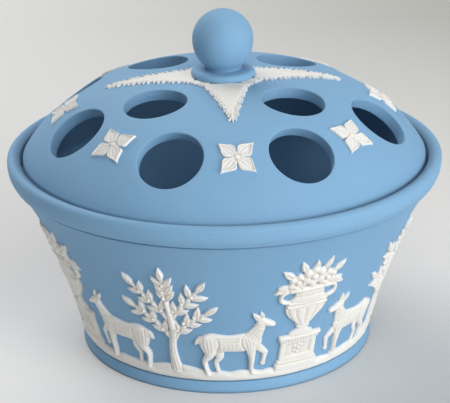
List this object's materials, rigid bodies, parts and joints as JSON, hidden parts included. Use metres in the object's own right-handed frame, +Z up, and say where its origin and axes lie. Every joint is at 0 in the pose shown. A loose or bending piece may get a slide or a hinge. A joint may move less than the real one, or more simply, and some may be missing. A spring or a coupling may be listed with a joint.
{
  "type": "potpourri vase",
  "caption": "Round covered stoneware bowl for potpourri: flared blue bowl with white relief frieze, loose pierced dome lid with ball knob.",
  "frame": {"origin": "centre of the foot, on the surface that the vase stands on", "axes": "+Z up along the turned axis, -Y towards the front leaf and floret of the lid"},
  "size_m": [0.164, 0.164, 0.1292],
  "materials": {
    "blue_stoneware": "matte, unglazed",
    "white_stoneware": "matte, unglazed"
  },
  "bodies": {
    "bowl_body": {"bowl": "blue_stoneware", "ground_band": "white_stoneware", "urn_1": "white_stoneware", "urn_2": "white_stoneware", "urn_3": "white_stoneware", "urn_4": "white_stoneware", "doe_1": "white_stoneware", "doe_2": "white_stoneware", "doe_3": "white_stoneware", "doe_4": "white_stoneware", "doe_5": "white_stoneware", "doe_6": "white_stoneware", "doe_7": "white_stoneware", "doe_8": "white_stoneware", "laurel_1": "white_stoneware", "laurel_2": "white_stoneware", "laurel_3": "white_stoneware", "laurel_4": "white_stoneware"},
    "lid_body": {"pierced_lid": "blue_stoneware", "ball_knob": "blue_stoneware", "acanthus_leaf_1": "white_stoneware", "acanthus_leaf_2": "white_stoneware", "acanthus_leaf_3": "white_stoneware", "acanthus_leaf_4": "white_stoneware", "floret_1": "white_stoneware", "floret_2": "white_stoneware", "floret_3": "white_stoneware", "floret_4": "white_stoneware", "floret_5": "white_stoneware", "floret_6": "white_stoneware", "floret_7": "white_stoneware", "floret_8": "white_stoneware"}
  },
  "joints": [
    {"name": "lid_lift", "type": "slide", "parent": "bowl_body", "child": "lid_body", "axis": [0, 0, 1], "range_m": [0, 0.12]}
  ]
}
